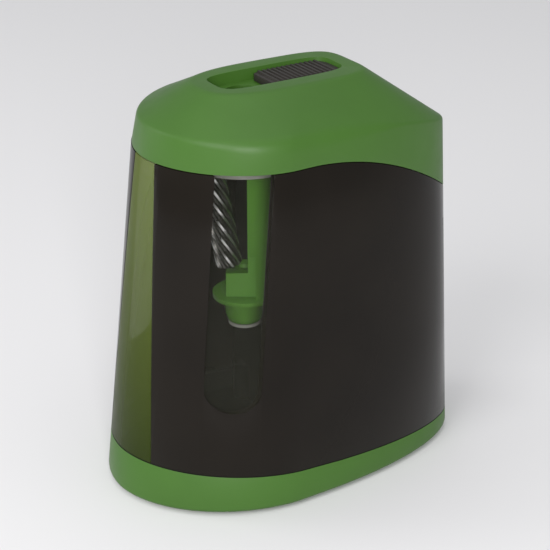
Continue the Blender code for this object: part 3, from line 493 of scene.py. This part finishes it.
def base_shell():
    foot_edge = ((0.0, 1.1), (0.12, 0.75), (0.4, 0.4), (0.85, 0.12), (1.4, 0.0))
    wall, screw_hole, counterbore, pocket = 2.4, 1.7, 3.2, 4.3
    rings = [body_ring(FOOT_HEIGHT + rise, inset) for rise, inset in foot_edge] + [body_ring(20.0, 0.0)]
    base = loft("base_shell", rings)
    keep_inside(base, side_prism("band", [(-60, -1), (60, -1), (60, base_rim(60) - SEAM),
                                          (-60, base_rim(-60) - SEAM)], -FAR, FAR))
    cut(base, loft("hollow", [body_ring(FLOOR_TOP, wall), body_ring(25.0, wall)]))
    for x, y in BASE_SCREWS:
        cut(base, cylinder("hole", screw_hole, -1, 8, (x, y), count=32))
        cut(base, cylinder("counterbore", counterbore, -1, 2.0, (x, y), count=48))
    for x, y in FOOT_PLACES:
        cut(base, cylinder("pocket", pocket, -1, 1.6, (x, y), count=48))
    soften(base, 0.15)
    stand_for(base, "base_tray", "lower_body", GREEN)
    # painted shade on the bin's inside faces
    paint_bin_shade(base)


def paint_bin_shade(base):
    """Painted shade: near-black plastic on the faces that look into the bin, its floor and its inner
    walls.
    """
    base.data.materials.append(BIN_SHADE)
    for polygon in base.data.polygons:
        place = polygon.center / MM
        outward = polygon.normal.x * place.x + polygon.normal.y * (place.y - WIDEST_Y)
        if place.z > FLOOR_TOP - 0.1 and (outward < -1.0 or polygon.normal.z > 0.9):
            polygon.material_index = 1


def rounded_profile(points, radii, steps=6):
    """A polyline whose inner corners are replaced by short curves."""
    out = [points[0]]
    for before, corner, after, radius in zip(points, points[1:], points[2:], radii):
        start = corner + (before - corner).normalized() * min(radius, (before - corner).length * 0.45)
        end = corner + (after - corner).normalized() * min(radius, (after - corner).length * 0.45)
        for i in range(steps + 1):
            t = i / steps
            out.append(start * (1 - t) ** 2 + corner * 2 * t * (1 - t) + end * t * t)
    out.append(points[-1])
    return out


def cap_form(name, inset, drop, rounded):
    """Skirt, crease and top plane; the crease is crisp at both ends and softer along the sides."""
    columns = []
    for a in angles():
        z = CREASE_FRONT
        for _ in range(4):
            z = crease_height(body_point(a, z, 0.0).y)
        setback = CREASE_SETBACK * max(0.0, -math.sin(a))
        crease = body_point(a, z - drop * 0.7, inset + setback)
        power = TOP_FRONT_POWER if math.sin(a) < 0 else TOP_REAR_POWER
        x, y = superellipse(a, TOP_HALF_WIDTH - inset * 0.4, TOP_HALF_LENGTH - inset * 0.4, power)
        rim = Vector((x, y, HEIGHT - drop))
        inner = Vector((x * 0.8, y * 0.86, HEIGHT - drop))
        skirt = body_point(a, min(CAP_EDGE_FRONT - 1, z - 4.0), inset)
        points = [body_point(a, 60.0, inset), skirt, crease, rim, inner]
        if rounded:
            midway = max(0.0, 1.0 - ((crease.y + 6.0) / 28.0) ** 2)
            columns.append([points[0]] + rounded_profile(points[1:], (0.8 + 2.4 * midway, 1.1)))
        else:
            columns.append(points)
    return loft(name, [list(ring) for ring in zip(*columns)])


def slot_ring(grow, shift=0.0):
    ring = []
    for a in angles(96):
        x, y = superellipse(a, SLOT_HALF_WIDTH + grow, SLOT_HALF_LENGTH + grow, SLOT_POWER)
        ring.append((x, y + shift))
    return ring


def cap_shell():
    post_radius, post_bore, front_bore_top, rear_bore_top = 3.1, 1.5, 97.0, 93.6
    cap = cap_form("cap_shell", 0.0, 0.0, True)
    cut(cap, cap_form("inside", CAP_WALL, 2.0, False))
    edge = [(y, z) for y, z in reversed(panel_outline(-SEAM)[2:])]
    edge += [(REAR_Y + 6, 120.0), (FRONT_Y - 6, 120.0)]
    keep_inside(cap, side_prism("edge", edge, -FAR, FAR))
    join(cap, upright_prism("tray", slot_ring(1.5), SLOT_FLOOR - SLOT_FLOOR_THICKNESS, HEIGHT - 1.0))
    cut(cap, upright_prism("slot", slot_ring(0.0), SLOT_FLOOR, HEIGHT + 3))
    cut(cap, cylinder("pencil_hole", PENCIL_BORE, 90, 110, (0, AXIS_Y)))
    for x, y in POST_PLACES:
        post = cylinder("post", post_radius, PLATE_HIGH + GAP, 110.0, (x, y), count=40)
        join(cap, keep_inside(post, cap_form("limit", CAP_WALL / 2, 1.0, False)))
        bore_top = rear_bore_top if y > 20 else front_bore_top
        cut(cap, cylinder("bore", post_bore, PLATE_HIGH - 1, bore_top, (x, y), count=24))
    soften(cap, 0.28, segments=3, angle=48)
    return stand_for(cap, "top_cap", "head", GREEN)


def ribbed_shutter():
    low, clearance, ribs, rib_half_width, side_margin = SLOT_FLOOR + GAP, 0.5, 13, 0.28, 1.0
    first_rib, last_rib = SHUTTER_FRONT + 1.6, SLOT_HALF_LENGTH - clearance - 2.4
    shutter = upright_prism("ribbed_shutter", slot_ring(-clearance), low, SHUTTER_TOP)
    keep_inside(shutter, upright_prism("region", slot_ring(-clearance, SHUTTER_TRAVEL), low - 2, HEIGHT))
    keep_inside(shutter, box("front", (-60, SHUTTER_FRONT, low - 3), (60, 60, HEIGHT + 2)))
    half = SLOT_HALF_WIDTH - clearance - side_margin
    for i in range(ribs):
        y = first_rib + i * (last_rib - first_rib) / (ribs - 1)
        join(shutter, box("rib", (-half, y - rib_half_width, SHUTTER_TOP - 0.2),
                          (half, y + rib_half_width, RIB_TOP)))
    soften(shutter, 0.12)
    return stand_for(shutter, "dust_shutter", "dust_shutter", SHUTTER)


# ---- cutter and carrier ----------------------------------------------------------------------
def cutter_frame():
    offset = GEAR_MODULE * (RING_TEETH - CUTTER_TEETH) / 2
    point = Vector((offset * math.cos(CUTTER_HEADING),
                    AXIS_Y + offset * math.sin(CUTTER_HEADING), MESH_Z)) * MM
    turn = Matrix.Rotation(CUTTER_HEADING, 4, "Z") @ Matrix.Rotation(CUTTER_TILT, 4, "Y")
    return Matrix.Translation(point) @ turn


def on_cutter_axis(obj):
    obj.data.transform(cutter_frame())
    return obj


def fluted_cutter():
    """Ground flutes that wind round the core; each tooth's land is painted bright as a highlight."""
    low, high, levels, twist, end_taper = -31.2, -2.3, 96, math.radians(-226), 0.35
    # share of one tooth's pitch, and depth under the outer radius
    profile = ((0.0, 0.0), (0.30, 0.0), (0.36, -0.14), (0.48, -0.66), (0.64, -0.72), (0.84, -0.50),
               (0.96, -0.14))
    rings = []
    for level in range(levels + 1):
        share = level / levels
        taper = end_taper if level in (0, levels) else 0.0
        ring = []
        for i in range(CUTTER_FLUTES):
            for step, depth in profile:
                a = 2 * math.pi * (i + step) / CUTTER_FLUTES + twist * share
                radius = CUTTER_RADIUS + depth * (1 - taper) - taper
                ring.append((radius * math.cos(a), radius * math.sin(a), low + (high - low) * share))
        rings.append(ring)
    cutter = loft("fluted_cutter", rings)
    cut(cutter, cylinder("bore", CUTTER_BORE, -40, 10, count=32))
    cutter.data.shade_smooth()
    cutter.data.set_sharp_from_angle(angle=math.radians(24))
    stand_for(cutter, "helical_cutter", "cutter", GROUND_STEEL)
    cutter.data.materials.append(HIGHLIGHT_STEEL)
    for polygon in cutter.data.polygons:    # painted highlight: the lands get a bright steel that stands out from the dark flutes
        if math.hypot(polygon.center.x, polygon.center.y) > (CUTTER_RADIUS - 0.05) * MM:
            polygon.material_index = 1
    return on_cutter_axis(cutter)


def turned(name, profile, centre, steps=96):
    """A solid of revolution from (radius, z) points, top down."""
    rings = []
    for radius, z in reversed(profile):
        rings.append([(centre[0] + radius * math.cos(a), centre[1] + radius * math.sin(a), z)
                      for a in angles(steps)])
    return loft(name, rings)


def carrier_shell():
    tiny, hub_radius, throat, disc_top, disc_low, hub_top = 0.02, 7.7, PENCIL_BORE + 0.8, 89.4, 88.0, 95.4
    shell_radius, flange_top, flange_low, nose_low, block_top = 7.6, 47.4, 46.3, 39.7, 60.0
    profile = [(tiny, hub_top), (hub_radius, hub_top), (hub_radius, disc_top), (12.3, disc_top),
               (12.3, disc_low), (shell_radius, disc_low), (shell_radius, flange_top + 0.4),
               (8.2, flange_top), (8.2, flange_low), (5.2, 45.9), (4.9, 41.4), (4.3, nose_low),
               (tiny, nose_low)]
    carrier = turned("carrier_moulding", profile, (0, AXIS_Y))
    facing = Matrix.Translation((0, AXIS_Y * MM, 0)) @ Matrix.Rotation(CUTTER_HEADING, 4, "Z")
    above_flange = flange_top + 0.3
    blocks = [((-1.0, -9.0, 54.2), (14.0, 9.0, disc_low)),          # the open side of the half shell
              ((-3.0, 4.4, above_flange), (14.0, 9.0, block_top)),  # the rest frees the square block
              ((-3.0, -9.0, above_flange), (14.0, -4.4, block_top)),
              ((4.6, -9.0, above_flange), (14.0, 9.0, block_top))]
    for low, high in blocks:
        tool = box("side", low, high)
        tool.data.transform(facing)
        cut(carrier, tool)
    cut(carrier, cylinder("throat", throat, 80, 88.6, (0, AXIS_Y)))
    cut(carrier, cylinder("bore", PENCIL_BORE, 88, 100, (0, AXIS_Y)))
    cut(carrier, cylinder("cone", 1.2, 53.0, 80.2, (0, AXIS_Y), top_radius=throat))
    cut(carrier, on_cutter_axis(cylinder("swept", CUTTER_RADIUS + 0.5, -31.8, 2.2)))
    cut(carrier, on_cutter_axis(cylinder("pin_hole", CUTTER_BORE, -37.0, 6.0, count=32)))
    soften(carrier, 0.22)
    return stand_for(carrier, "cutter_carrier", "carrier", CARRIER_LIT_GREEN)


# ---- stage, lights, camera -------------------------------------------------------------------
def stage():
    bm = bmesh.new()
    bmesh.ops.create_grid(bm, x_segments=2, y_segments=2, size=1.5)
    floor = add_object("studio_floor", bm)
    material, shader = node_material("studio_floor", (0.80, 0.79, 0.797), 0.7)
    shader.inputs["Specular IOR Level"].default_value = 0.2
    floor.data.materials.append(material)
    world = bpy.data.worlds.new("studio")
    world.use_nodes = True
    background = world.node_tree.nodes["Background"]
    background.inputs["Color"].default_value = (0.96, 0.98, 1.0, 1.0)
    background.inputs["Strength"].default_value = 0.46
    bpy.context.scene.world = world


def direction(azimuth, elevation):
    """From the object towards a viewer; azimuth 0 stands in front and looks along +Y."""
    a, e = math.radians(azimuth), math.radians(elevation)
    return Vector((math.sin(a) * math.cos(e), -math.cos(a) * math.cos(e), math.sin(e)))


def area_light(name, azimuth, elevation, distance, size, power):
    data = bpy.data.lights.new(name, "AREA")
    data.shape = "RECTANGLE"
    data.size, data.size_y = size
    data.energy = power
    lamp = bpy.data.objects.new(name, data)
    away = direction(azimuth, elevation)
    lamp.location = away * distance + Vector((0, 0, HEIGHT / 2 * MM))
    lamp.rotation_mode = "QUATERNION"
    lamp.rotation_quaternion = (-away).to_track_quat("-Z", "Y")
    bpy.context.scene.collection.objects.link(lamp)


def lights():
    area_light("key", 24, 34, 1.1, (0.6, 0.6), 5.0)
    area_light("window_fill", 62, 22, 1.0, (0.25, 0.35), 5.0)
    area_light("left_rim", -42, 22, 1.0, (0.4, 0.7), 1.7)
    area_light("top", 0, 88, 1.3, (1.4, 1.4), 4.5)


def camera():
    distance, target = 0.445, Vector((0.0, 0.0, 0.0495))
    back = direction(58, 24.5)
    data = bpy.data.cameras.new("camera")
    data.lens = 112                      # millimetres
    data.clip_start = 0.01
    obj = bpy.data.objects.new("camera", data)
    obj.location = target + back * distance
    obj.rotation_mode = "QUATERNION"
    obj.rotation_quaternion = (-back).to_track_quat("-Z", "Y")
    bpy.context.scene.collection.objects.link(obj)
    bpy.context.scene.camera = obj


bpy.context.scene.view_settings.view_transform = "Standard"
camera()
stage()
lights()
dress_cad_nodes()
side_pieces()
front_strip()
rear_door()
base_shell()
cap_shell()
ribbed_shutter()
fluted_cutter()
carrier_shell()
